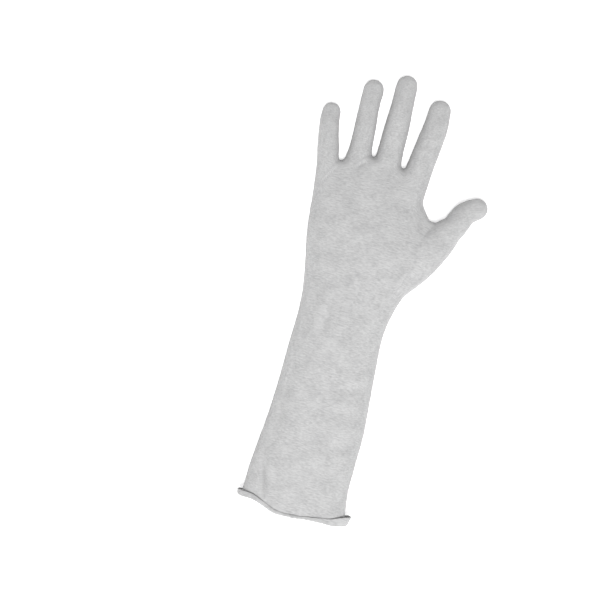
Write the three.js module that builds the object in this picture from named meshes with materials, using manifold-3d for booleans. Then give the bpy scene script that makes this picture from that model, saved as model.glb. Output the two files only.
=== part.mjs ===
// A long cotton inspection glove, lying palm down as a hand leaves it: two knit panels, one for the back
// and one for the palm, sewn round their outline, with an unhemmed cuff whose cut edge curls outwards.
// Millimetres, +Z up, +Y towards the fingertips, +X towards the thumb. It rests on z = 0.
import * as THREE from "three";
import { mergeVertices } from "three/addons/utils/BufferGeometryUtils.js";
import Module from "manifold-3d";

const wasm = await Module();
wasm.setup();

// Cloth
const CLOTH = 1.2; // thickness of the knit
const SEAM_GAP = 0.3; // slit between the two panels, all round the outline
const SEAM_AT_SLEEVE = 10; // height of the side seam on the sleeve and palm
const SEAM_AT_FINGERS = 6.4; // and along the fingers
const SEAM_DROP_FROM = 225; // y where the seam starts down from one height to the other
const SEAM_DROP_TO = 285;

// The sleeve and hand, a row for each section across it: y from the cuff, then the left and right edges,
// the top and the underside, which lies on the floor except near the curled cuff.
const BODY = [
  { y: 0, left: -42.0, right: 41.2, top: 25.0, under: 4.8 },
  { y: 9, left: -41.9, right: 40.2, top: 25.4, under: 2.4 },
  { y: 20, left: -41.6, right: 38.7, top: 25.8, under: 0.6 },
  { y: 44, left: -39.7, right: 38.5, top: 26.2, under: 0 },
  { y: 68, left: -37.6, right: 38.7, top: 26.6, under: 0 },
  { y: 93, left: -36.6, right: 36.8, top: 27.0, under: 0 },
  { y: 122, left: -36.2, right: 34.5, top: 28.0, under: 0 },
  { y: 146, left: -35.7, right: 33.2, top: 28.6, under: 0 },
  { y: 161, left: -36.1, right: 35.0, top: 28.8, under: 0 },
  { y: 176, left: -38.2, right: 39.2, top: 28.8, under: 0 },
  { y: 195, left: -42.1, right: 46.5, top: 28.4, under: 0 },
  { y: 212, left: -45.6, right: 49.0, top: 27.4, under: 0 },
  { y: 229, left: -47.4, right: 48.4, top: 25.2, under: 0 },
  { y: 243, left: -48.4, right: 48.2, top: 22.4, under: 0 },
  { y: 254, left: -49.4, right: 44.0, top: 19.4, under: 0 },
  { y: 265, left: -50.2, right: 37.0, top: 15.4, under: 0 },
];
const BODY_STEP = 11; // spacing of the sections that are lofted
const BODY_SIDES = 36;

// The web between the fingers: how far up the hand reaches at each x.
const WEB = [
  { x: -52, y: 262 },
  { x: -33.2, y: 271.7 },
  { x: -9.7, y: 280.2 },
  { x: 15.5, y: 277 },
  { x: 37, y: 260 },
];
const WEB_ROUND = 5; // how far the hand's rounded end runs
const WEB_BENDS_FROM = 222; // the sections bow towards the web from here on

// The fingers and thumb, a row for each section along the centreline: its place, width and height.
const FINGERS = {
  little: [
    { x: -40.6, y: 250, width: 16.6, top: 16.8 },
    { x: -43.0, y: 264, width: 16.6, top: 16.4 },
    { x: -45.5, y: 276, width: 16.8, top: 15.8 },
    { x: -48.0, y: 286.5, width: 16.0, top: 15.2 },
    { x: -50.2, y: 297.5, width: 15.2, top: 14.6 },
    { x: -50.9, y: 306.6, width: 14.4, top: 13.8 },
  ],
  ring: [
    { x: -21.4, y: 258, width: 21.0, top: 18.0 },
    { x: -21.0, y: 273, width: 20.4, top: 17.4 },
    { x: -21.4, y: 286, width: 17.4, top: 16.6 },
    { x: -22.2, y: 301, width: 16.6, top: 16.0 },
    { x: -23.2, y: 317, width: 15.6, top: 15.4 },
    { x: -23.4, y: 331.4, width: 16.2, top: 14.6 },
  ],
  middle: [
    { x: 2.0, y: 260, width: 22.6, top: 18.8 },
    { x: 2.0, y: 276, width: 21.0, top: 18.0 },
    { x: 1.8, y: 291, width: 19.6, top: 17.2 },
    { x: 1.8, y: 307, width: 19.2, top: 16.6 },
    { x: 1.6, y: 324, width: 17.4, top: 15.8 },
    { x: 1.2, y: 340.8, width: 16.8, top: 15.0 },
  ],
  index: [
    { x: 24.4, y: 252, width: 23.0, top: 18.6 },
    { x: 26.0, y: 268, width: 21.8, top: 17.8 },
    { x: 27.6, y: 284, width: 20.4, top: 17.2 },
    { x: 29.4, y: 299, width: 20.2, top: 16.6 },
    { x: 31.0, y: 314, width: 19.2, top: 15.8 },
    { x: 31.2, y: 328.2, width: 17.6, top: 15.0 },
  ],
  thumb: [
    { x: 28.0, y: 193, width: 35.4, top: 25.4 },
    { x: 41.8, y: 208, width: 32.0, top: 24.0 },
    { x: 52.8, y: 223.6, width: 27.6, top: 21.8 },
    { x: 60.2, y: 237.4, width: 24.0, top: 20.2 },
    { x: 65.6, y: 247.4, width: 21.6, top: 18.8 },
    { x: 71.4, y: 255.6, width: 21.2, top: 17.8 },
    { x: 77.2, y: 262.0, width: 19.0, top: 16.6 },
  ],
};
const FINGER_SIDES = 14;
const TIP_ANGLES = [30, 58, 80]; // degrees at which a rounded tip has a ring

// Section shape: 2 is an ellipse, and a higher number is squarer.
const TOP_SQUARENESS = 2.5;
const UNDER_SQUARENESS = 2.6;
const FINGER_SQUARENESS = 2.4;
const UNDER_DIP = 2.4; // how far the round of a section would reach below the floor that flattens it

// The long soft folds that the loose wrist makes, a row for each: from one end to the other.
const FOLDS = [
  { x0: 44, y0: 205, x1: 22, y1: 150, width: 7.0, height: -1.5 },
  { x0: 34, y0: 196, x1: 14, y1: 148, width: 6.0, height: 1.7 },
  { x0: 0, y0: 178, x1: 1, y1: 118, width: 6.5, height: 1.4 },
  { x0: -14, y0: 166, x1: -12, y1: 112, width: 7.0, height: -1.1 },
  { x0: 32, y0: 96, x1: -6, y1: 82, width: 7.0, height: -1.0 },
  { x0: 36, y0: 52, x1: -2, y1: 38, width: 8.0, height: 1.1 },
];

// The cuff's cut edge, which curls outwards: its ruffled line, and the radius of the curl.
const CURL_TURN = 235; // degrees that the edge turns through
const CURL_STEPS = 7;
const CURL_RADIUS_AT_SEAMS = 2.3; // at the two side seams, to the middle of the cloth
const CURL_RADIUS_BETWEEN = 1.7;
const CURL_OVERLAP = 1.6; // how far the curl's root runs inside the sleeve's wall
const CUFF_BOW = 5.0; // how much lower the edge hangs in the middle than at the seams
const MOUTH_RISE = 4.0; // how much higher the mouth is at the seam on the little finger side
const MOUTH_RISE_FADES = 22; // y at which the sections of the sleeve lie square again
const CUFF_RUFFLE = 0.9; // and the ruffles on top of that
const CUFF_RUFFLE_WAVES = 5;

const GREY_COTTON = new THREE.Color(0.83, 0.83, 0.83);
const FAR = 250; // well outside the glove

// A smooth curve through one column of a table, read at any place along another.
function column(table, along, name) {
  const curve = new THREE.CubicInterpolant(
    table.map((row) => row[along]),
    table.map((row) => row[name]),
    1
  );
  const [first, last] = [table[0][along], table[table.length - 1][along]];
  return (at) => curve.evaluate(THREE.MathUtils.clamp(at, first, last))[0];
}

function seamHeight(y) {
  const drop = THREE.MathUtils.smoothstep(y, SEAM_DROP_FROM, SEAM_DROP_TO);
  return THREE.MathUtils.lerp(SEAM_AT_SLEEVE, SEAM_AT_FINGERS, drop);
}

// How far the folds lift or sink the cloth of the back at a place.
function foldHeight(x, y) {
  let height = 0;
  for (const fold of FOLDS) {
    const along = new THREE.Vector2(fold.x1 - fold.x0, fold.y1 - fold.y0);
    const to = new THREE.Vector2(x - fold.x0, y - fold.y0);
    const share = to.dot(along) / along.lengthSq();
    if (share <= 0 || share >= 1) continue;
    const away = Math.abs(to.cross(along)) / along.length();
    height += fold.height * Math.sin(Math.PI * share) * Math.exp(-((away / fold.width) ** 2));
  }
  return height;
}

// One point of a section: across is the signed share of the half width and up the share of the height.
function sectionShare(turn, squareness) {
  const [c, s] = [Math.cos(turn), Math.sin(turn)];
  return [
    Math.sign(c) * Math.abs(c) ** (2 / squareness),
    Math.sign(s) * Math.abs(s) ** (2 / squareness),
  ];
}

function sectionHeight(up, seam, top, under) {
  if (up >= 0) return seam + (top - seam) * up;
  return Math.max(under, seam + (seam - under + UNDER_DIP) * up);
}

// Closes a stack of rings into a solid skin, with a fan over each end.
function skin(rings) {
  const sides = rings[0].length;
  const points = rings.flat();
  const faces = [];
  for (let r = 0; r + 1 < rings.length; r++)
    for (let i = 0; i < sides; i++) {
      const [a, b] = [r * sides + i, r * sides + ((i + 1) % sides)];
      faces.push(a, b, b + sides, a, b + sides, a + sides);
    }
  for (const [ring, start, flipped] of [
    [rings[0], 0, true],
    [rings[rings.length - 1], (rings.length - 1) * sides, false],
  ]) {
    const middle = points.length;
    points.push(ring.reduce((sum, p) => sum.add(p), new THREE.Vector3()).divideScalar(sides));
    for (let i = 0; i < sides; i++) {
      const [a, b] = [start + i, start + ((i + 1) % sides)];
      faces.push(...(flipped ? [b, a, middle] : [a, b, middle]));
    }
  }
  return new THREE.BufferGeometry().setFromPoints(points).setIndex(faces);
}

// The sleeve and hand. inset is 0 for the outside of the cloth and its thickness for the inside.
function bodySkin(inset, from) {
  const at = {};
  for (const name of ["left", "right", "top", "under"]) at[name] = column(BODY, "y", name);
  const webAt = column(WEB, "x", "y");
  const last = BODY[BODY.length - 1].y;

  const ring = (y, shrink, forward) =>
    Array.from({ length: BODY_SIDES }, (_, i) => {
      const turn = -(2 * Math.PI * i) / BODY_SIDES;
      const squareness = turn > -Math.PI ? UNDER_SQUARENESS : TOP_SQUARENESS;
      const [across, up] = sectionShare(turn, squareness);
      const middle = (at.left(y) + at.right(y)) / 2;
      const half = (at.right(y) - at.left(y)) / 2 - inset;
      const x = middle + across * half * (0.55 + 0.45 * shrink);
      const bend = THREE.MathUtils.smoothstep(y, WEB_BENDS_FROM, last);
      const rise = mouthRise(turn) * (1 - THREE.MathUtils.smoothstep(y, 0, MOUTH_RISE_FADES));
      const bentY = y + bend * (webAt(x) - last - WEB_ROUND) + rise + forward;
      const seam = seamHeight(bentY);
      const lift = up > 0 ? foldHeight(x, bentY) * up : 0;
      const top = seam + (at.top(y) - inset + lift - seam) * shrink;
      const under = seam + (Math.max(0, at.under(y)) + inset - seam) * shrink;
      return new THREE.Vector3(x, bentY, sectionHeight(up, seam, top, under));
    });

  const rings = [];
  const steps = Math.round((last - from) / BODY_STEP);
  for (let i = 0; i <= steps; i++) rings.push(ring(from + ((last - from) * i) / steps, 1, 0));
  for (const degrees of TIP_ANGLES) {
    const angle = THREE.MathUtils.degToRad(degrees);
    rings.push(ring(last, Math.cos(angle), (WEB_ROUND - inset) * Math.sin(angle)));
  }
  return skin(rings);
}

// A finger or the thumb, round at its tip, from a root that lies inside the hand.
function fingerSkin(rows, inset) {
  const centreline = new THREE.CatmullRomCurve3(
    rows.map((row) => new THREE.Vector3(row.x, row.y, 0))
  );
  const ring = (centre, ahead, half, top, shrink) =>
    Array.from({ length: FINGER_SIDES }, (_, i) => {
      const turn = -(2 * Math.PI * i) / FINGER_SIDES;
      const [across, up] = sectionShare(turn, FINGER_SQUARENESS);
      const side = new THREE.Vector3(ahead.y, -ahead.x, 0);
      const point = centre.clone().addScaledVector(side, across * (half - inset) * shrink);
      const seam = seamHeight(point.y);
      const topHere = seam + (top - inset - seam) * shrink;
      const underHere = seam + (inset - seam) * shrink;
      point.z = sectionHeight(up, seam, topHere, underHere);
      return point;
    });

  const rings = rows.map((row, i) => {
    const share = i / (rows.length - 1);
    const centre = new THREE.Vector3(row.x, row.y, 0);
    return ring(centre, centreline.getTangent(share), row.width / 2, row.top, 1);
  });
  const tip = rows[rows.length - 1];
  const ahead = centreline.getTangent(1);
  for (const degrees of TIP_ANGLES) {
    const angle = THREE.MathUtils.degToRad(degrees);
    const reach = (tip.width / 2 - inset) * Math.sin(angle);
    const centre = new THREE.Vector3(tip.x, tip.y, 0).addScaledVector(ahead, reach);
    rings.push(ring(centre, ahead, tip.width / 2, tip.top, Math.cos(angle)));
  }
  return skin(rings);
}

// How far the mouth of the sleeve rises towards the seam on the little finger side.
function mouthRise(turn) {
  return MOUTH_RISE * Math.max(0, -Math.cos(turn)) ** 2;
}

// How far the cuff's edge hangs below the mouth at a turn round it.
function cuffDrop(turn) {
  const between = Math.sin(turn) ** 2;
  return CUFF_BOW * between + CUFF_RUFFLE * Math.sin(CUFF_RUFFLE_WAVES * turn) * between;
}

// The curled edge: a hook of cloth swept once round the mouth of the sleeve.
function curlSkin() {
  const mouth = BODY[0];
  const middle = (mouth.left + mouth.right) / 2;
  const half = (mouth.right - mouth.left) / 2 - CLOTH / 2;
  const seam = seamHeight(0);
  const profileSize = 2 * (CURL_STEPS + 2);
  const points = [];
  for (let i = 0; i < BODY_SIDES; i++) {
    const turn = -(2 * Math.PI * i) / BODY_SIDES;
    const squareness = turn > -Math.PI ? UNDER_SQUARENESS : TOP_SQUARENESS;
    const [across, up] = sectionShare(turn, squareness);
    const root = new THREE.Vector3(
      middle + across * half,
      mouthRise(turn) - cuffDrop(turn),
      sectionHeight(up, seam, mouth.top - CLOTH / 2, mouth.under + CLOTH / 2)
    );
    const out = new THREE.Vector3(across / half, 0, up / (mouth.top / 2)).normalize();
    const radius = THREE.MathUtils.lerp(
      CURL_RADIUS_BETWEEN,
      CURL_RADIUS_AT_SEAMS,
      Math.abs(across) ** 3
    );
    const place = (away, along) =>
      root.clone().addScaledVector(out, away).add(new THREE.Vector3(0, along, 0));
    const sides = [1, -1].map((side) => {
      const skinRadius = radius + (side * CLOTH) / 2.1;
      const line = [place(radius - skinRadius, cuffDrop(turn) + CURL_OVERLAP)];
      for (let s = 0; s <= CURL_STEPS; s++) {
        const angle = THREE.MathUtils.degToRad((CURL_TURN * s) / CURL_STEPS);
        line.push(place(radius - skinRadius * Math.cos(angle), -skinRadius * Math.sin(angle)));
      }
      return line;
    });
    points.push(...sides[0], ...sides[1].reverse());
  }
  const faces = [];
  for (let i = 0; i < BODY_SIDES; i++)
    for (let k = 0; k < profileSize; k++) {
      const next = (k + 1) % profileSize;
      const [here, there] = [i * profileSize, ((i + 1) % BODY_SIDES) * profileSize];
      faces.push(here + k, there + k, there + next, here + k, there + next, here + next);
    }
  return new THREE.BufferGeometry().setFromPoints(points).setIndex(faces);
}

// Everything on one side of the side seam, as a block whose face follows the seam with half the gap.
function sideOfSeam(side) {
  const line = new THREE.Shape();
  line.moveTo(-FAR, side * FAR);
  for (const y of [-FAR, SEAM_DROP_FROM, 240, 255, 270, SEAM_DROP_TO, 2 * FAR])
    line.lineTo(y, seamHeight(y) + (side * SEAM_GAP) / 2);
  line.lineTo(2 * FAR, side * FAR);
  const block = new THREE.ExtrudeGeometry(line, { depth: 2 * FAR, bevelEnabled: false });
  const alongY = new THREE.Vector3(0, 1, 0);
  const upwards = new THREE.Vector3(0, 0, 1);
  const alongX = new THREE.Vector3(1, 0, 0);
  block.applyMatrix4(new THREE.Matrix4().makeBasis(alongY, upwards, alongX));
  return block.translate(-FAR, 0, 0);
}

function solid(geometry) {
  const bare = new THREE.BufferGeometry()
    .setAttribute("position", geometry.getAttribute("position"))
    .setIndex(geometry.index);
  const merged = mergeVertices(bare, 1e-4);
  const vertProperties = merged.attributes.position.array;
  const triVerts = new Uint32Array(merged.index.array);
  return new wasm.Manifold(new wasm.Mesh({ numProp: 3, vertProperties, triVerts }));
}

function geometryOf(manifold) {
  const { vertProperties, triVerts } = manifold.getMesh();
  const geometry = new THREE.BufferGeometry()
    .setAttribute("position", new THREE.BufferAttribute(vertProperties, 3))
    .setIndex(new THREE.BufferAttribute(triVerts, 1));
  geometry.computeVertexNormals();
  return geometry;
}

// The form inside or outside the cloth: the hand with its fingers.
function handForm(inset, from) {
  return Object.values(FINGERS)
    .map((rows) => solid(fingerSkin(rows, inset)))
    .reduce((form, finger) => form.add(finger), solid(bodySkin(inset, from)));
}

function panel(name, cloth, side) {
  const material = new THREE.MeshStandardMaterial({
    color: GREY_COTTON,
    roughness: 0.95,
    metalness: 0,
  });
  const mesh = new THREE.Mesh(geometryOf(cloth.intersect(solid(sideOfSeam(side)))), material);
  mesh.name = name;
  return mesh;
}

const cloth = handForm(0, 0).subtract(handForm(CLOTH, -2 * BODY_STEP)).add(solid(curlSkin()));

// The origin is on the floor, under the middle of the glove's own box.
const glove = new THREE.Group();
glove.add(panel("back_panel", cloth, 1), panel("palm_panel", cloth, -1));
const box = new THREE.Box3().setFromObject(glove);
const middle = box.getCenter(new THREE.Vector3());
glove.position.set(-middle.x, -middle.y, -box.min.z);

const part = new THREE.Group();
part.add(glove);
export default part;
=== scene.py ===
import math

import bmesh
import bpy
import numpy as np
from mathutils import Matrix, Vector, noise


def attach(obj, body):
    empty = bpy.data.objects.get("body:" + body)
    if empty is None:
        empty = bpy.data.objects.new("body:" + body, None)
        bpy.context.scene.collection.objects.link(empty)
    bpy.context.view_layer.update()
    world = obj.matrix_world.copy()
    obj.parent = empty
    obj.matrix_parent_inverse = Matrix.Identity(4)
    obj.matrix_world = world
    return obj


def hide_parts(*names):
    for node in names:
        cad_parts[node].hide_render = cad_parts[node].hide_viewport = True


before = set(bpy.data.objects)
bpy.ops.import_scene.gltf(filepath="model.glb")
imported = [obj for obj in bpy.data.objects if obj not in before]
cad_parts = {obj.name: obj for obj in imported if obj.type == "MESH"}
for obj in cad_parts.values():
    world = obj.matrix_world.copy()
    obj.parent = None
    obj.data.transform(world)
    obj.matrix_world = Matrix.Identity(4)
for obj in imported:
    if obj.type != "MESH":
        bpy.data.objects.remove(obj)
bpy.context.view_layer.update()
print("frame loaded")

mm = 0.001
# in millimetres: the knit's thickness, and the height from which the back's knit is laid out flat
cloth = {"thickness": 0.8, "backTop": 26.0}

# The hand and sleeve, in millimetres from the middle of the cuff: across is X, along is Y.
hand = {
    "origin": (-14.209, -170.486),  # the cuff's middle in the row's frame
    "seamAtSleeve": 10.0,
    "seamAtFingers": 6.4,
    "seamDrops": (225.0, 285.0),
    "sides": 48,
    "step": 7.0,
    "squareness": (2.1, 2.6),  # of the top and of the underside: 2 is an ellipse
    "dip": 2.4,  # how far the round underside would reach below the floor
    "liftAtCuff": 4.8,  # the cuff's curl holds the underside this far off the floor
    "endRound": 6.0,  # how far the end by the fingers is rounded off
    "endDegrees": (20, 40, 60, 78),
    "endNarrowing": 0.45,
    "bendsFrom": 222.0,  # from here the sections bend to follow the web
    "sections": [  # along, left, right, top, under
        (-16, -42.0, 41.4, 24.8, 4.8),
        (0, -42.0, 41.2, 25.0, 4.8),
        (9, -41.9, 40.2, 25.4, 2.4),
        (20, -41.6, 38.7, 25.8, 0.6),
        (44, -39.7, 38.5, 26.2, 0),
        (68, -37.6, 38.7, 26.6, 0),
        (93, -36.6, 36.8, 27.0, 0),
        (122, -36.2, 34.5, 28.0, 0),
        (146, -35.7, 33.2, 28.6, 0),
        (161, -36.1, 35.0, 28.8, 0),
        (176, -38.2, 39.2, 28.8, 0),
        (195, -42.1, 46.5, 28.4, 0),
        (212, -45.6, 49.0, 27.4, 0),
        (229, -47.4, 48.4, 25.2, 0),
        (243, -48.4, 48.2, 22.6, 0),
        (254, -49.4, 44.0, 20.2, 0),
        (265, -50.2, 37.0, 17.6, 0),
    ],
    "web": [(-52, 262), (-33.2, 271.7), (-9.7, 280.2), (15.5, 277), (37, 260)],  # across, along
}

# The fingers and thumb: across, along, width and top at places down the middle of each.
fingers = {
    "sides": 28,
    "squareness": 2.4,
    "ringsPerRow": 6,
    "tipDegrees": (15, 30, 45, 60, 74, 86),
    "little": [
        (-40.6, 246, 16.6, 17.2),
        (-43.0, 264, 16.6, 16.5),
        (-45.5, 276, 16.8, 15.8),
        (-48.0, 286.5, 16.0, 15.2),
        (-50.2, 297.5, 15.2, 14.0),
        (-50.9, 306.6, 14.4, 10.8),
    ],
    "ring": [
        (-21.4, 254, 21.0, 18.6),
        (-21.0, 273, 20.4, 17.4),
        (-21.4, 286, 17.4, 16.6),
        (-22.2, 301, 16.6, 16.0),
        (-23.2, 317, 15.6, 15.0),
        (-23.3, 331.4, 16.2, 11.4),
    ],
    "middle": [
        (2.0, 256, 22.6, 19.6),
        (2.0, 276, 21.0, 18.0),
        (1.8, 291, 19.6, 17.2),
        (1.8, 307, 19.2, 16.6),
        (1.6, 324, 17.4, 15.4),
        (1.2, 340.8, 16.8, 11.6),
    ],
    "index": [
        (24.2, 248, 23.0, 19.4),
        (26.0, 268, 21.8, 17.8),
        (27.6, 284, 20.4, 17.2),
        (29.4, 299, 20.2, 16.6),
        (31.0, 314, 19.2, 15.4),
        (31.2, 328.2, 17.6, 11.6),
    ],
    "thumb": [
        (28.0, 193, 35.4, 25.0),
        (41.8, 208, 32.0, 24.0),
        (52.8, 223.6, 27.6, 21.8),
        (60.6, 237.2, 22.8, 20.2),
        (64.8, 242.2, 18.6, 19.5),
        (66.8, 247.7, 19.2, 18.6),
        (70.8, 255.9, 18.2, 16.8),
        (79.0, 261.9, 16.8, 13.2),
    ],
    "web": [  # between the index finger and the thumb
        (26.0, 214.0, 24.0, 22.0),
        (38.0, 228.6, 18.0, 18.0),
        (46.6, 235.4, 15.4, 15.0),
    ],
}


def clothPoint(x, y):
    return (x + hand["origin"][0]) * mm, (y + hand["origin"][1]) * mm


def curveThrough(places, heights):
    places = np.array(places, float)
    heights = np.array(heights, float)
    slopes = np.gradient(heights, places)

    def at(place):
        place = min(max(place, places[0]), places[-1])
        i = min(int(np.searchsorted(places, place, side="right")) - 1, len(places) - 2)
        span = places[i + 1] - places[i]
        t = (place - places[i]) / span
        before = (1 + 2 * t) * (1 - t) ** 2 * heights[i] + t * (1 - t) ** 2 * span * slopes[i]
        after = t * t * (3 - 2 * t) * heights[i + 1] + t * t * (t - 1) * span * slopes[i + 1]
        return before + after

    return at


def smoothStep(value, low, high):
    t = min(max((value - low) / (high - low), 0.0), 1.0)
    return t * t * (3 - 2 * t)


def seamHeight(along):
    drop = smoothStep(along, *hand["seamDrops"])
    return hand["seamAtSleeve"] + (hand["seamAtFingers"] - hand["seamAtSleeve"]) * drop


def sectionPoint(turn, squareness):
    c, s = math.cos(turn), math.sin(turn)
    across = math.copysign(abs(c) ** (2 / squareness), c)
    return across, math.copysign(abs(s) ** (2 / squareness), s)


def handRings():
    rows = hand["sections"]
    columns = [curveThrough([r[0] for r in rows], [r[k] for r in rows]) for k in range(1, 5)]
    webAt = curveThrough(*zip(*hand["web"]))
    last = rows[-1][0]
    count = round((last - rows[0][0]) / hand["step"])
    stations = [(rows[0][0] + (last - rows[0][0]) * i / count, 1.0, 0.0) for i in range(count + 1)]
    for degrees in hand["endDegrees"]:
        angle = math.radians(degrees)
        stations.append((last, math.cos(angle), hand["endRound"] * math.sin(angle)))
    rings = []
    for along, shrink, forward in stations:
        left, right, top, under = (column(along) for column in columns)
        bend = smoothStep(along, hand["bendsFrom"], last)
        ring = []
        for i in range(hand["sides"]):
            turn = 2 * math.pi * i / hand["sides"]
            across, up = sectionPoint(turn, hand["squareness"][0 if turn < math.pi else 1])
            narrowed = 1 - hand["endNarrowing"] * (1 - shrink)
            x = (left + right) / 2 + across * (right - left) / 2 * narrowed
            y = along + bend * (webAt(x) - last - hand["endRound"]) + forward
            seam = seamHeight(y)
            low = max(under, 0.0)
            dip = hand["dip"] * max(1 - low / hand["liftAtCuff"], 0.0)
            reach = top - seam if up > 0 else seam - low + dip
            ring.append((x, y, seam + reach * up * shrink))
        rings.append(ring)
    return rings


def fingerRings(rows):
    count = fingers["ringsPerRow"] * (len(rows) - 1)
    columns = [curveThrough(range(len(rows)), [r[k] for r in rows]) for k in range(4)]
    stations = [[column(i * (len(rows) - 1) / count) for column in columns] for i in range(count + 1)]
    rings = []
    for i, (x, y, width, top) in enumerate(stations):
        before, after = stations[max(i - 1, 0)], stations[min(i + 1, count)]
        ahead = Vector((after[0] - before[0], after[1] - before[1])).normalized()
        rings.append(fingerRing(x, y, ahead, width / 2, top, 1.0))
    for degrees in fingers["tipDegrees"]:
        angle = math.radians(degrees)
        reach = width / 2 * math.sin(angle)
        place = (x + ahead.x * reach, y + ahead.y * reach)
        rings.append(fingerRing(*place, ahead, width / 2, top, math.cos(angle)))
    return rings


def fingerRing(x, y, ahead, half, top, shrink):
    ring = []
    for i in range(fingers["sides"]):
        across, up = sectionPoint(2 * math.pi * i / fingers["sides"], fingers["squareness"])
        px = x + ahead.y * across * half * shrink
        py = y - ahead.x * across * half * shrink
        seam = seamHeight(py)
        reach = top - seam if up > 0 else seam + hand["dip"]
        ring.append((px, py, seam + reach * up * shrink))
    return ring


def selectOnly(*pieces):
    bpy.ops.object.select_all(action="DESELECT")
    for piece in pieces:
        piece.select_set(True)
    bpy.context.view_layer.objects.active = pieces[0]


def placeRing(piece, ring):
    mesh = bmesh.from_edit_mesh(piece.data)
    number = mesh.verts.layers.int.get("number")
    for vertex in mesh.verts:
        if vertex.select:
            x, y, z = ring[vertex[number]]
            vertex.co = (*clothPoint(x, y), z * mm)
    bmesh.update_edit_mesh(piece.data)


# A closed form extruded from a circle, ring by ring
def loft(name, rings):
    bpy.ops.mesh.primitive_circle_add(vertices=len(rings[0]), radius=1, fill_type="NGON")
    piece = bpy.context.object
    piece.name = name
    piece.data.attributes.new("number", "INT", "POINT")
    piece.data.attributes["number"].data.foreach_set("value", list(range(len(rings[0]))))
    bpy.ops.object.mode_set(mode="EDIT")
    bpy.ops.mesh.select_all(action="SELECT")
    placeRing(piece, rings[0])
    for ring in rings[1:]:
        bpy.ops.mesh.extrude_region_move()
        placeRing(piece, ring)
    bpy.ops.mesh.select_all(action="SELECT")
    bpy.ops.mesh.normals_make_consistent(inside=False)
    bpy.ops.object.mode_set(mode="OBJECT")
    return piece


def applyModifier(piece, kind, **settings):
    selectOnly(piece)
    modifier = piece.modifiers.new(kind.lower(), kind)
    for name, value in settings.items():
        setattr(modifier, name, value)
    bpy.ops.object.modifier_apply(modifier=modifier.name)


def coordinates(piece):
    flat = np.empty(len(piece.data.vertices) * 3)
    piece.data.vertices.foreach_get("co", flat)
    return flat.reshape(-1, 3)


def setCoordinates(piece, points):
    piece.data.vertices.foreach_set("co", points.ravel())
    piece.data.update()


def normals(piece):
    flat = np.empty(len(piece.data.vertices) * 3)
    piece.data.vertex_normals.foreach_get("vector", flat)
    return flat.reshape(-1, 3)


# The glove's form before it is cut open: hand and fingers run together, then smoothed as cloth is
form = {
    "voxel": 1.04 * mm,
    "smoothing": 24,  # passes
    "smoothFactor": 0.5,
    "fatten": 0.35 * mm,  # makes up for what the smoothing takes off
}


def buildForm():
    parts = [loft("form", handRings())]
    for name in ("little", "ring", "middle", "index", "thumb", "web"):
        parts.append(loft(name, fingerRings(fingers[name])))
    selectOnly(*parts)
    bpy.ops.object.join()
    piece = parts[0]
    applyModifier(piece, "REMESH", mode="VOXEL", voxel_size=form["voxel"], adaptivity=0.0)
    applyModifier(piece, "SMOOTH", factor=form["smoothFactor"], iterations=form["smoothing"])
    points = coordinates(piece) + normals(piece) * form["fatten"]
    points[:, 2] = np.maximum(points[:, 2], 0.0)
    setCoordinates(piece, points)
    return piece


glove = buildForm()
print("form", len(glove.data.vertices))

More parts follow.
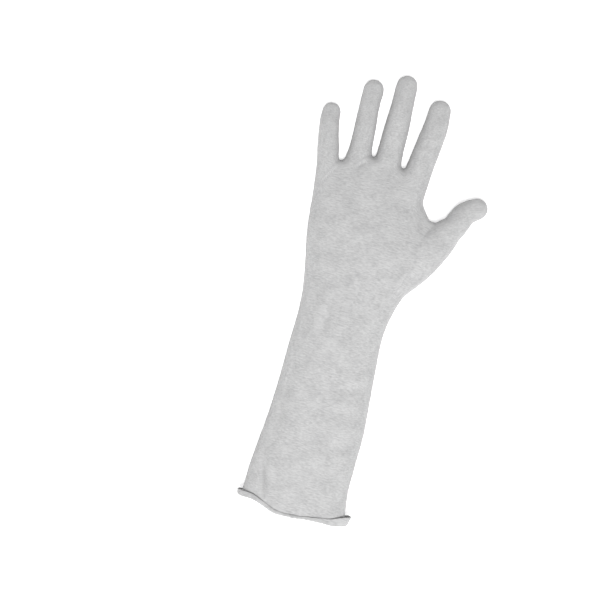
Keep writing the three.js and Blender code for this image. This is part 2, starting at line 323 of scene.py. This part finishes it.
# Soft folds of the cloth, each a line of places with its width and height in millimetres.
# A negative height is a valley.
folds = {
    "back": [
        ([(-34.5, 269.0), (-40.5, 261.0), (-45.5, 250.5)], 1.2, 1.0),
        ([(-36.5, 266.0), (-42.5, 257.0), (-46.5, 246.0)], 2.2, -0.8),
        ([(-12.0, 279.0), (-16.0, 276.5), (-20.0, 272.5)], 1.1, 0.7),
        ([(-14.0, 275.0), (-18.0, 272.0), (-22.0, 266.0)], 2.0, -0.5),
        ([(14.5, 273.0), (11.0, 268.0), (8.0, 258.0)], 2.4, -0.35),
        ([(17.0, 273.0), (22.0, 268.0), (28.0, 258.0)], 2.6, -0.35),
        ([(47.0, 238.0), (38.0, 222.0), (30.0, 204.0)], 7.0, 1.1),
        ([(47.0, 206.0), (36.0, 188.0), (27.0, 158.0)], 4.2, -2.6),
        ([(40.0, 202.0), (29.0, 185.0), (21.0, 154.0)], 3.4, 2.4),
        ([(34.0, 196.0), (24.0, 180.0), (14.0, 150.0)], 5.0, -1.4),
        ([(-1.0, 176.0), (0.5, 158.0), (-3.0, 134.0)], 3.4, 1.2),
        ([(9.0, 178.0), (9.0, 160.0), (5.0, 138.0)], 5.0, -0.8),
        ([(-13.0, 172.0), (-12.0, 152.0), (-14.5, 132.0)], 4.2, -1.1),
        ([(-21.0, 168.0), (-20.0, 148.0), (-22.0, 126.0)], 3.4, 0.8),
        ([(-33.6, 150.0), (-30.8, 100.0), (-32.8, 56.0)], 1.6, 0.5),
        ([(-31.0, 120.0), (-32.5, 90.0), (-30.0, 46.0)], 5.0, -1.1),
        ([(-24.0, 100.0), (-26.0, 70.0), (-22.0, 30.0)], 5.0, 0.8),
        ([(31.0, 106.0), (18.0, 99.0), (2.0, 97.0)], 3.8, -1.3),
        ([(33.0, 92.0), (22.0, 88.0), (8.0, 88.0)], 3.6, 1.0),
        ([(35.0, 60.0), (22.0, 52.0), (4.0, 50.0)], 4.6, -1.2),
        ([(-36.0, 34.0), (-28.0, 18.0), (-27.0, 2.0)], 2.6, -1.5),
        ([(-30.0, 38.0), (-23.0, 20.0), (-22.0, 2.0)], 2.6, 1.1),
        ([(23.0, 290.0), (28.0, 291.5), (34.0, 289.0)], 1.2, -0.25),
        ([(22.0, 294.0), (29.0, 296.0), (35.0, 293.0)], 1.0, 0.35),
        ([(24.5, 298.5), (29.0, 300.0), (37.0, 297.5)], 1.1, -0.25),
        ([(23.5, 303.0), (30.0, 305.0), (36.5, 302.5)], 0.9, 0.3),
        ([(-6.5, 300.0), (2.0, 302.0), (10.0, 299.5)], 1.5, -0.2),
        ([(-29.0, 297.0), (-22.0, 298.5), (-15.0, 296.0)], 1.4, -0.2),
        ([(-55.0, 282.0), (-48.0, 284.0), (-41.0, 281.0)], 1.4, -0.2),
        ([(52.0, 240.0), (60.0, 232.0), (66.0, 224.0)], 2.0, -0.3),
    ],
    "palm": [
        ([(44.0, 214.0), (30.0, 196.0), (22.0, 160.0)], 6.0, -1.2),
        ([(-40.0, 240.0), (-10.0, 250.0), (30.0, 244.0)], 4.0, -0.7),
        ([(-44.0, 222.0), (-12.0, 232.0), (34.0, 226.0)], 4.0, -0.6),
        ([(-30.0, 150.0), (0.0, 146.0), (28.0, 152.0)], 5.0, -0.8),
        ([(-31.0, 120.0), (-33.0, 84.0), (-33.0, 40.0)], 5.0, -1.0),
    ],
    "depth": 1.3,  # a factor on every fold's height
    "curveSteps": 25,
    "reach": 3,  # widths to either side of a fold's line
    "ends": (0.06, 0.94),  # a fold fades out towards its ends as this part of a half wave does
    "endPower": 0.8,
    "upperPower": 1.5,  # how soon the folds of the back fade out down its sides
    "drifts": [(26.0, 0.6), (11.0, 0.22)],  # sizes and heights of the slow unevenness of slack cloth
    "driftStretch": 0.6,
    "driftShift": 4.2,
}


def foldLift(points, lines):
    lift = np.zeros(len(points))
    start, end = folds["ends"]
    for places, width, height in lines:
        steps = np.linspace(0, 1, folds["curveSteps"])
        a, b, c = (np.array(clothPoint(*p)) / mm for p in places)
        curve = np.outer((1 - steps) ** 2, a) + np.outer(2 * steps * (1 - steps), b) + np.outer(steps**2, c)
        reach = folds["reach"] * width
        low, high = curve.min(0) - reach, curve.max(0) + reach
        near = np.where(np.all((points[:, :2] > low) & (points[:, :2] < high), axis=1))[0]
        if not len(near):
            continue
        gaps = np.linalg.norm(points[near, None, :2] - curve[None], axis=2)
        nearest = gaps.argmin(1)
        along = np.sin(math.pi * (start + (end - start) * steps[nearest])) ** folds["endPower"]
        lift[near] += height * along * np.exp(-((gaps.min(1) / width) ** 2))
    return lift


def drift(points, size):
    stretch, shift = folds["driftStretch"], folds["driftShift"]
    values = [noise.noise(Vector((x / size, y / size * stretch, z / size + shift))) for x, y, z in points]
    return np.array(values)


def foldCloth(piece):
    points = coordinates(piece) / mm
    facing = normals(piece)
    upper = np.clip(facing[:, 2], 0, 1) ** folds["upperPower"]
    lower = np.clip(-facing[:, 2], 0, 1)
    lift = folds["depth"] * foldLift(points, folds["back"]) * upper
    for size, height in folds["drifts"]:
        lift += height * drift(points, size) * upper
    points += facing * lift[:, None]
    points[:, 2] -= folds["depth"] * foldLift(points, folds["palm"]) * lower
    points[:, 2] = np.maximum(points[:, 2], 0.0)
    setCoordinates(piece, points * mm)


foldCloth(glove)
print("folds")

# The cuff is cut straight off and curls outwards by itself, most at the two seams.
cuff = {
    "middle": -0.4,  # across, of the mouth
    "halfWidth": 41.2,
    "halfHeights": (13.4, 7.4),  # of the mouth, above and below the seam
    "linePoints": 181,
    "line": [  # across, along, where the cloth starts to curl
        (-45, 1.3),
        (-41, 0.8),
        (-33, 0.4),
        (-24, -2.4),
        (-16, -5.0),
        (-4, -5.1),
        (7, -4.6),
        (20, -4.1),
        (33, -3.4),
        (41, -1.8),
        (45, -1.0),
    ],
    "mergeWithin": 0.3,  # points of the cut edge closer than this are made one
    "ruffle": 0.8,
    "ruffleLength": 15.0,
    "ruffleShifts": (0.6, 2.4),  # of the waves in the upper and in the lower panel
    "ruffleFades": 16.0,
    "slowWave": 2.7,  # a longer wave under the ruffle, in ruffle lengths
    "slowShift": 1.3,
    "waveShare": 0.6,
    "curlSteps": 15,  # rings of faces across the curl
    "curl": [  # across, radius of the bend, run of the cloth past it back onto the sleeve
        (-41, 0.3, 2.9),
        (-30, 0.25, 2.6),
        (-16, 0.22, 1.7),
        (6, 0.2, 1.1),
        (20, 0.22, 2.4),
        (33, 0.25, 4.0),
        (41, 0.3, 4.2),
    ],
    "unevenness": [(0.11, 3.0, 0.05, 0.5), (0.33, 9.0, 0.1, 0.3)],  # across, shift, up, share
    "steepest": 0.9,  # sine of the run's slope down to the sleeve, at most
    "outwards": 1.6,  # higher: the curl turns straighter up and down along the mouth's flat sides
    "hornPower": 6,  # how close to the seams the horns begin
    "hornRadius": 1.3,  # at the two seams the curl is seen end on, and its end stands up in a point
    "hornBend": 170.0,
    "hornLengths": (3.0, 6.6),  # left and right
}

mouthPlaces = np.linspace(cuff["line"][0][0], cuff["line"][-1][0], cuff["linePoints"])
mouthAlong = np.array([curveThrough(*zip(*cuff["line"]))(x) for x in mouthPlaces])


def mouthLine(x):
    return np.interp(x, mouthPlaces, mouthAlong)


def openCuff(piece):
    points = coordinates(piece) / mm
    points[:, 1] -= mouthLine(points[:, 0] - hand["origin"][0])
    setCoordinates(piece, points * mm)
    selectOnly(piece)
    bpy.ops.object.mode_set(mode="EDIT")
    bpy.ops.mesh.select_all(action="SELECT")
    mouth = (0, hand["origin"][1] * mm, 0)
    bpy.ops.mesh.bisect(plane_co=mouth, plane_no=(0, 1, 0), clear_inner=True, use_fill=False)
    bpy.ops.mesh.select_all(action="SELECT")
    bpy.ops.mesh.remove_doubles(threshold=cuff["mergeWithin"] * mm)
    bpy.ops.object.mode_set(mode="OBJECT")
    points = coordinates(piece) / mm
    line = mouthLine(points[:, 0] - hand["origin"][0])
    points[:, 1] += line
    # ruffles that fade up the sleeve
    up = points[:, 1] - hand["origin"][1] - line
    fade = np.clip(1 - up / cuff["ruffleFades"], 0, 1) ** 2
    middle = 1 - np.clip(np.abs(points[:, 0] - hand["origin"][0]) / cuff["halfWidth"], 0, 1) ** 4
    shift = np.where(points[:, 2] > hand["seamAtSleeve"], *cuff["ruffleShifts"])
    wave = np.sin(2 * math.pi * points[:, 0] / cuff["ruffleLength"] + shift)
    slowLength = cuff["ruffleLength"] * cuff["slowWave"]
    slow = np.sin(2 * math.pi * points[:, 0] / slowLength + cuff["slowShift"])
    share = cuff["waveShare"]
    points[:, 2] += cuff["ruffle"] * fade * middle * (share * wave + share * slow)
    points[:, 1] += share * cuff["ruffle"] * fade * middle * slow
    setCoordinates(piece, points * mm)


# How far out and along a strip of cloth has come at each step of its curl: a bend, then a flat run
def curlPath(radius, bend, flat):
    path = []
    for step in range(1, cuff["curlSteps"] + 1):
        run = (radius * bend + flat) * step / cuff["curlSteps"]
        angle = min(run / radius, bend)
        rest = max(run - radius * bend, 0.0)
        away = radius * (1 - math.cos(angle)) + rest * math.sin(angle)
        path.append((away, -radius * math.sin(angle) - rest * math.cos(angle)))
    return path


def uneven(x, z):
    rows = cuff["unevenness"]
    return sum(noise.noise(Vector((x * across, shift, z * up))) * share for across, shift, up, share in rows)


def signedPower(value, power):
    return math.copysign(abs(value) ** power, value)


def cuffPlaces(roots):
    across, radii, runs = zip(*cuff["curl"])
    horn = math.radians(cuff["hornBend"])
    strips = []
    for x, y, z in roots:
        place = x - hand["origin"][0]
        a = min(max((place - cuff["middle"]) / cuff["halfWidth"], -1.0), 1.0)
        half = cuff["halfHeights"][0 if z > hand["seamAtSleeve"] else 1]
        b = min(max((z - hand["seamAtSleeve"]) / half, -1.0), 1.0)
        sideways = signedPower(a, cuff["outwards"]) / cuff["halfWidth"]
        out = Vector((sideways, signedPower(b, cuff["outwards"]) / half))
        out.normalize()
        radius = np.interp(place, across, radii) * (1 + uneven(x, z))
        flat = np.interp(place, across, runs) * (1 + uneven(x, z) / 2)
        # the bend goes on past half a turn until the cloth's run back meets the sleeve
        bend = math.pi + math.asin(min(2 * radius / flat, cuff["steepest"]))
        atHorn = abs(a) ** cuff["hornPower"]
        radius += (cuff["hornRadius"] - radius) * atHorn
        flat += (cuff["hornLengths"][0 if a < 0 else 1] - flat) * atHorn
        strips.append(((x, y, z), out, curlPath(radius, bend + (horn - bend) * atHorn, flat)))
    places = []
    for step in range(cuff["curlSteps"]):
        ring = []
        for (x, y, z), out, path in strips:
            away, along = path[step]
            ring.append((x + out.x * away, y + along, max(z + out.y * away, cloth["thickness"])))
        places.append(ring)
    return places


def placeNumbered(piece, places):
    mesh = bmesh.from_edit_mesh(piece.data)
    number = mesh.verts.layers.int.get("number")
    for vertex in mesh.verts:
        if vertex.select:
            vertex.co = Vector(places[vertex[number]]) * mm
    bmesh.update_edit_mesh(piece.data)


# Numbers the points of an open edge that pass a test, and leaves that edge selected
def numberEdge(piece, wanted):
    mesh = bmesh.from_edit_mesh(piece.data)
    number = mesh.verts.layers.int.get("number") or mesh.verts.layers.int.new("number")
    for face in mesh.faces:
        face.select = False
    for edge in mesh.edges:
        edge.select = False
    for vertex in mesh.verts:
        vertex.select = False
    roots, directions = [], []
    for edge in mesh.edges:
        if edge.is_boundary and all(wanted(vertex.co / mm) for vertex in edge.verts):
            edge.select = True
    for vertex in mesh.verts:
        if vertex.select:
            vertex[number] = len(roots)
            roots.append(tuple(vertex.co / mm))
            directions.append(vertex.normal.copy())
    bmesh.update_edit_mesh(piece.data)
    return roots, directions


def curlCuff(piece):
    selectOnly(piece)
    bpy.ops.object.mode_set(mode="EDIT")
    bpy.ops.mesh.select_mode(type="VERT")
    roots = numberEdge(piece, lambda place: True)[0]
    for ring in cuffPlaces(roots):
        bpy.ops.mesh.extrude_region_move()
        placeNumbered(piece, ring)
    bpy.ops.object.mode_set(mode="OBJECT")


openCuff(glove)
curlCuff(glove)
print("cuff", len(glove.data.vertices))

# The side seam: sewn inside out, so that outside it is a groove with small puckers
seam = {
    "grooveWidth": 2.4,
    "grooveDepth": 0.75,
    "puckerReach": 8.0,
    "pucker": 0.28,
    "puckerLength": 3.4,
    "puckerPower": 1.5,
    "puckerStretch": 0.3,
    "sideFrom": 1.25,  # the groove and puckers are left off where the cloth faces up or down
    "fadesAbove": (1.0, 4.0),  # beside the cuff's edge: where they begin, and over what length
    "least": 0.02,  # puckers weaker than this share are left out
    "allowanceDepths": (0.4, 1.4, 3.0),
    "allowanceFrom": 1.5,  # above the cuff's edge
    "hornHeight": 12.0,  # below this, and outside the mouth by the margin, the cloth is a horn
    "hornMargin": 0.4,
    "onSeamWithin": 0.05,
}


def seamHeights(points):
    low, high = hand["seamDrops"]
    t = np.clip((points[:, 1] - hand["origin"][1] - low) / (high - low), 0, 1)
    return hand["seamAtSleeve"] + (hand["seamAtFingers"] - hand["seamAtSleeve"]) * t * t * (3 - 2 * t)


def pullSeam(piece):
    points = coordinates(piece) / mm
    facing = normals(piece)
    away = np.abs(points[:, 2] - seamHeights(points))
    side = np.clip(seam["sideFrom"] - np.abs(facing[:, 2]), 0, 1)
    up = points[:, 1] - hand["origin"][1] - mouthLine(points[:, 0] - hand["origin"][0])
    fadeFrom, fadeOver = seam["fadesAbove"]
    fade = np.clip((up - fadeFrom) / fadeOver, 0, 1)
    groove = seam["grooveDepth"] * np.clip(1 - away / seam["grooveWidth"], 0, 1) ** 2
    near = np.clip(1 - away / seam["puckerReach"], 0, 1) ** seam["puckerPower"]
    size = seam["puckerLength"]
    ripple = np.zeros(len(points))
    for i in np.where(near * side * fade > seam["least"])[0]:
        x, y, z = points[i]
        ripple[i] = noise.noise(Vector((x / size, y / size, z / size * seam["puckerStretch"])))
    points += facing * ((seam["pucker"] * ripple * near - groove) * side * fade)[:, None]
    setCoordinates(piece, points * mm)


def splitPanels(piece):
    points = coordinates(piece) / mm
    points[:, 2] -= seamHeights(points)
    setCoordinates(piece, points * mm)
    selectOnly(piece)
    bpy.ops.object.mode_set(mode="EDIT")
    bpy.ops.mesh.select_all(action="SELECT")
    bpy.ops.mesh.bisect(plane_co=(0, 0, 0), plane_no=(0, 0, 1), use_fill=False)
    bpy.ops.mesh.select_mode(type="FACE")
    bpy.ops.mesh.select_all(action="DESELECT")
    mesh = bmesh.from_edit_mesh(piece.data)
    for face in mesh.faces:
        face.select = face.calc_center_median().z > 0
    bmesh.update_edit_mesh(piece.data)
    bpy.ops.mesh.separate(type="SELECTED")
    bpy.ops.object.mode_set(mode="OBJECT")
    other = [o for o in bpy.context.selected_objects if o != piece][0]
    piece.name, other.name = "palm_side", "back_side"
    for panel in (piece, other):
        points = coordinates(panel) / mm
        points[:, 2] += seamHeights(points)
        setCoordinates(panel, points * mm)
    return other, piece


def hemAllowance(panel):
    selectOnly(panel)
    bpy.ops.object.mode_set(mode="EDIT")
    bpy.ops.mesh.select_mode(type="VERT")

    def onSleeve(place):
        across, along = place.x - hand["origin"][0], place.y - hand["origin"][1]
        outside = abs(across - cuff["middle"]) > cuff["halfWidth"] + seam["hornMargin"]
        onHorn = along < seam["hornHeight"] and outside
        return along > mouthLine(across) + seam["allowanceFrom"] and not onHorn

    def atSeam(place):
        return abs(place.z - seamHeights(np.array([place]))[0]) < seam["onSeamWithin"] and onSleeve(place)

    roots, directions = numberEdge(panel, atSeam)
    for depth in seam["allowanceDepths"]:
        bpy.ops.mesh.extrude_region_move()
        ring = []
        for root, direction in zip(roots, directions):
            inward = Vector((direction.x, direction.y, 0)).normalized() * depth
            ring.append((root[0] - inward.x, root[1] - inward.y, root[2]))
        placeNumbered(panel, ring)
    bpy.ops.object.mode_set(mode="OBJECT")


pullSeam(glove)
back, palm = splitPanels(glove)
for panel in (back, palm):
    hemAllowance(panel)
print("panels", len(back.data.vertices), len(palm.data.vertices))


# Cloth coordinates in metres: the plan of the glove, spread out round its edges by how far the cloth
# runs down there, so that the knit isn't stretched on the sides
def layCloth(panel, edgeHeight, upwards):
    points = coordinates(panel) / mm
    facing = normals(panel)
    run = (edgeHeight - points[:, 2]) * upwards
    plan = points[:, :2] + facing[:, :2] * run[:, None]
    layer = panel.data.uv_layers.new(name="cloth")
    corners = np.empty(len(panel.data.loops), int)
    panel.data.loops.foreach_get("vertex_index", corners)
    layer.data.foreach_set("uv", (plan[corners] * mm).ravel())


layCloth(back, cloth["backTop"], 1.0)
layCloth(palm, 0.0, -1.0)
for panel in (back, palm):
    applyModifier(panel, "SOLIDIFY", thickness=cloth["thickness"] * mm, offset=-1.0, use_rim=True)
    selectOnly(panel)
    bpy.ops.object.shade_smooth()
print("cloth", len(back.data.polygons), len(palm.data.polygons))


# Shader maths: a wire is a socket that can be reckoned with
class Wire:
    def __init__(self, tree, socket):
        self.tree = tree
        self.socket = socket

    def make(self, kind, settings, inputs, output=0):
        node = self.tree.nodes.new(kind)
        for name, value in settings.items():
            if name == "stops":
                for stop, (place, colour) in zip(node.color_ramp.elements, value):
                    stop.position, stop.color = place, colour
            else:
                setattr(node, name, value)
        for name, value in inputs.items():
            if isinstance(value, Wire):
                self.tree.links.new(value.socket, node.inputs[name])
            else:
                node.inputs[name].default_value = value
        return Wire(self.tree, node.outputs[output])

    def maths(self, operation, *values):
        return self.make("ShaderNodeMath", {"operation": operation}, dict(enumerate(values)))

    def __add__(self, other):
        return self.maths("ADD", self, other)

    __radd__ = __add__

    def __sub__(self, other):
        return self.maths("SUBTRACT", self, other)

    def __rsub__(self, other):
        return self.maths("SUBTRACT", other, self)

    def __mul__(self, other):
        return self.maths("MULTIPLY", self, other)

    __rmul__ = __mul__


# Light grey heathered jersey: fine stitches, yarns of uneven thickness and shade, and a soft nap
jersey = {
    "light": (0.575, 0.575, 0.575, 1.0),
    "dark": (0.41, 0.41, 0.413, 1.0),
    "wale": 0.95,  # width of a column of stitches, in millimetres
    "course": 0.7,  # height of a row of stitches
    "slant": 0.6,  # how far a stitch's sides rise to make its v, in rows
    "wander": (3.0, 3.0, 7.0, 1.0, 0.5),  # as a yarn below, and how far it moves the rows
    "valley": 0.8,
    "yarns": {  # size across and along, shift, detail, share in the shade, share in the height
        "streaks": (5.0, 1.05, 0.0, 2.0, 1.3, 0.2),
        "fineStreaks": (2.4, 0.8, 31.0, 2.0, 1.2, 0.2),
        "clouds": (14.0, 10.0, 57.0, 3.0, 0.9, 0.0),
        "fibres": (0.5, 0.35, 11.0, 3.0, 0.4, 0.18),
    },
    # how strongly the stitches' relief is painted into the colour: painted shade in the valleys between
    # loops, painted highlight on the loop tops
    "stitchPaintedShade": 0.16,
    "stitchHeight": 0.34,
    "middleShade": 0.56,
    "roughness": 0.93,
    "roughnessVaries": 0.08,
    "bump": 0.55,
    "bumpDepth": 0.4,
    "sheen": 0.25,
    "sheenRoughness": 0.6,
    "specular": 0.2,
}


def jerseyMaterial():
    material = bpy.data.materials.new("grey_jersey")
    material.use_nodes = True
    tree = material.node_tree
    shader = tree.nodes["Principled BSDF"]
    start = Wire(tree, None)
    place = start.make("ShaderNodeUVMap", {"uv_map": "cloth"}, {})
    millimetres = start.make("ShaderNodeVectorMath", {"operation": "SCALE"}, {0: place, "Scale": 1000.0})
    u = start.make("ShaderNodeSeparateXYZ", {}, {0: millimetres}, 0)
    v = start.make("ShaderNodeSeparateXYZ", {}, {0: millimetres}, 1)

    def yarn(acrossSize, alongSize, shift, detail):
        across = u * (1 / acrossSize) + shift
        spot = start.make("ShaderNodeCombineXYZ", {}, {0: across, 1: v * (1 / alongSize)})
        settings = {"noise_dimensions": "2D"}
        return start.make("ShaderNodeTexNoise", settings, {"Vector": spot, "Scale": 1.0, "Detail": detail})

    # stitches: each column of v-shaped loops
    along = u * (1 / jersey["wale"])
    column = along.maths("FRACT", along) - 0.5
    edge = column.maths("ABSOLUTE", column) * 2
    *wander, moves = jersey["wander"]
    row = v * (1 / jersey["course"]) + edge * jersey["slant"] + yarn(*wander) * moves
    loop = row.maths("SINE", row * (2 * math.pi))
    stitch = (loop * 0.5 + 0.5) * (1 - edge * edge * jersey["valley"])

    # painted shade and highlight: the stitches' relief is also painted into the colour, darker in the
    # valleys between loops and lighter on their tops, on top of the yarns' own heathered tone
    shade = (stitch - 0.5) * jersey["stitchPaintedShade"] + jersey["middleShade"]
    height = stitch * jersey["stitchHeight"]
    threads = {}
    for name, (*lie, inShade, inHeight) in jersey["yarns"].items():
        threads[name] = yarn(*lie)
        shade = shade + (threads[name] - 0.5) * inShade
        if inHeight:
            height = height + threads[name] * inHeight
    ramp = {"stops": [(0.0, jersey["dark"]), (1.0, jersey["light"])]}
    colour = start.make("ShaderNodeValToRGB", ramp, {"Fac": shade})
    tree.links.new(colour.socket, shader.inputs["Base Color"])

    rough = jersey["roughness"] + (threads["fibres"] - 0.5) * jersey["roughnessVaries"]
    tree.links.new(rough.socket, shader.inputs["Roughness"])
    relief = {"Strength": jersey["bump"], "Distance": jersey["bumpDepth"] * mm, "Height": height}
    tree.links.new(start.make("ShaderNodeBump", {}, relief).socket, shader.inputs["Normal"])
    shader.inputs["Sheen Weight"].default_value = jersey["sheen"]
    shader.inputs["Sheen Roughness"].default_value = jersey["sheenRoughness"]
    shader.inputs["Specular IOR Level"].default_value = jersey["specular"]
    return material


knit = jerseyMaterial()
for panel, node in ((back, "back_panel"), (palm, "palm_panel")):
    panel.data.materials.clear()
    panel.data.materials.append(knit)
    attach(panel, "root")
    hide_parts(node)
print("knit")

studio = {
    "cameraAim": (-0.0507, -0.0131, 0.010),
    "cameraAway": 1.105,
    "cameraTurn": 15.0,
    "lens": 85.0,
    "sensor": 36.0,
    "floor": 3.0,
    "floorDrop": 0.0004,
    "paper": 0.95,
    "paperRoughness": 0.95,
    "world": 0.22,
    "floorGlow": 0.5,
    "keyAt": (0.3, -1.3, 3.8),
    "keyPower": 184.0,
    "keySize": 1.8,
}


def buildStudio():
    aim = Vector(studio["cameraAim"])
    bpy.ops.object.select_all(action="DESELECT")
    bpy.ops.mesh.primitive_plane_add(size=studio["floor"], location=(0, 0, -studio["floorDrop"]))
    floor = bpy.context.object
    floor.name = "studio_floor"
    bpy.ops.object.transform_apply(location=True, rotation=False, scale=False)
    paper = bpy.data.materials.new("pale_paper")
    paper.use_nodes = True
    paperShader = paper.node_tree.nodes["Principled BSDF"]
    paperShader.inputs["Base Color"].default_value = (studio["paper"],) * 3 + (1.0,)
    paperShader.inputs["Roughness"].default_value = studio["paperRoughness"]
    paperShader.inputs["Emission Color"].default_value = (1.0, 1.0, 1.0, 1.0)
    paperShader.inputs["Emission Strength"].default_value = studio["floorGlow"]
    floor.data.materials.append(paper)

    bpy.ops.object.light_add(type="AREA", location=studio["keyAt"])
    key = bpy.context.object
    key.data.size = studio["keySize"]
    key.data.energy = studio["keyPower"]
    key.rotation_euler = (Vector(studio["keyAt"]) - aim).to_track_quat("Z", "Y").to_euler()

    world = bpy.data.worlds.new("studio_world")
    world.use_nodes = True
    background = world.node_tree.nodes["Background"]
    background.inputs["Color"].default_value = (1, 1, 1, 1)
    background.inputs["Strength"].default_value = studio["world"]
    bpy.context.scene.world = world
    bpy.context.scene.view_settings.view_transform = "Standard"

    bpy.ops.object.camera_add(location=aim + Vector((0, 0, studio["cameraAway"])))
    camera = bpy.context.object
    camera.rotation_euler = (0, 0, math.radians(studio["cameraTurn"]))
    camera.data.lens = studio["lens"]
    camera.data.sensor_width = studio["sensor"]
    bpy.context.scene.camera = camera


buildStudio()
print("studio")
